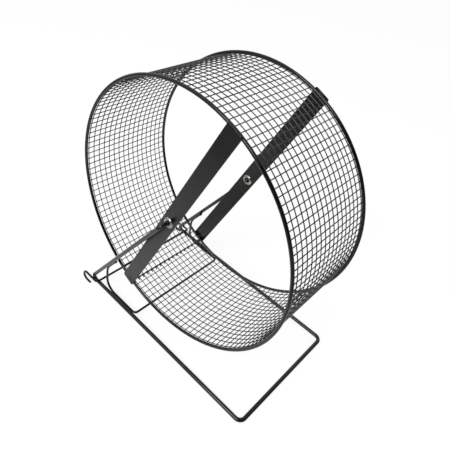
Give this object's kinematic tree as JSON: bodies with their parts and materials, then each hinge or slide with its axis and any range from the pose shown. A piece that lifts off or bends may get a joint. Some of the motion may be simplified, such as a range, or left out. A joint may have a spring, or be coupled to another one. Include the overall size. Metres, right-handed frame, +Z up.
{
  "type": "hamster wheel",
  "caption": "Wire-mesh hamster wheel that spins on the pins of a bent-wire stand, with a brace and two hooks for hanging it on a cage.",
  "frame": {"origin": "on the floor, straight below the middle of the axle, which is also the middle of the bottom of the overall box", "axes": "+X from the uprights' foot towards the far end of the base, +Y along the axle from the front strap to the rear one, +Z up"},
  "size_m": [0.25, 0.1408, 0.2709],
  "materials": {
    "rings": "semi-gloss black coating on round steel wire",
    "mesh": "semi-gloss black coating on thin welded wire",
    "straps": "satin black coating on flat steel bar",
    "stand": "semi-gloss black coating on round steel wire",
    "eyelets": "bright nickel plate"
  },
  "bodies": {
    "stand": {"stand_wire": "stand", "brace_wire": "stand", "hook_wire": "stand"},
    "wheel": {"front_ring": "rings", "rear_ring": "rings", "mesh_cross_wires": "mesh", "mesh_seam": "mesh", "front_strap": "straps", "rear_strap": "straps", "front_eyelet": "eyelets", "rear_eyelet": "eyelets", "mesh_hoop_01": "mesh", "mesh_hoop_02": "mesh", "mesh_hoop_03": "mesh", "mesh_hoop_04": "mesh", "mesh_hoop_05": "mesh", "mesh_hoop_06": "mesh", "mesh_hoop_07": "mesh", "mesh_hoop_08": "mesh", "mesh_hoop_09": "mesh", "mesh_hoop_10": "mesh", "mesh_hoop_11": "mesh", "mesh_hoop_12": "mesh", "mesh_hoop_13": "mesh", "mesh_hoop_14": "mesh", "mesh_hoop_15": "mesh", "mesh_hoop_16": "mesh", "mesh_hoop_17": "mesh"}
  },
  "joints": [
    {"name": "wheel_spin", "type": "hinge", "parent": "stand", "child": "wheel", "pos_m": [0, 0, 0.1459], "axis": [0, 1, 0], "continuous": true}
  ]
}
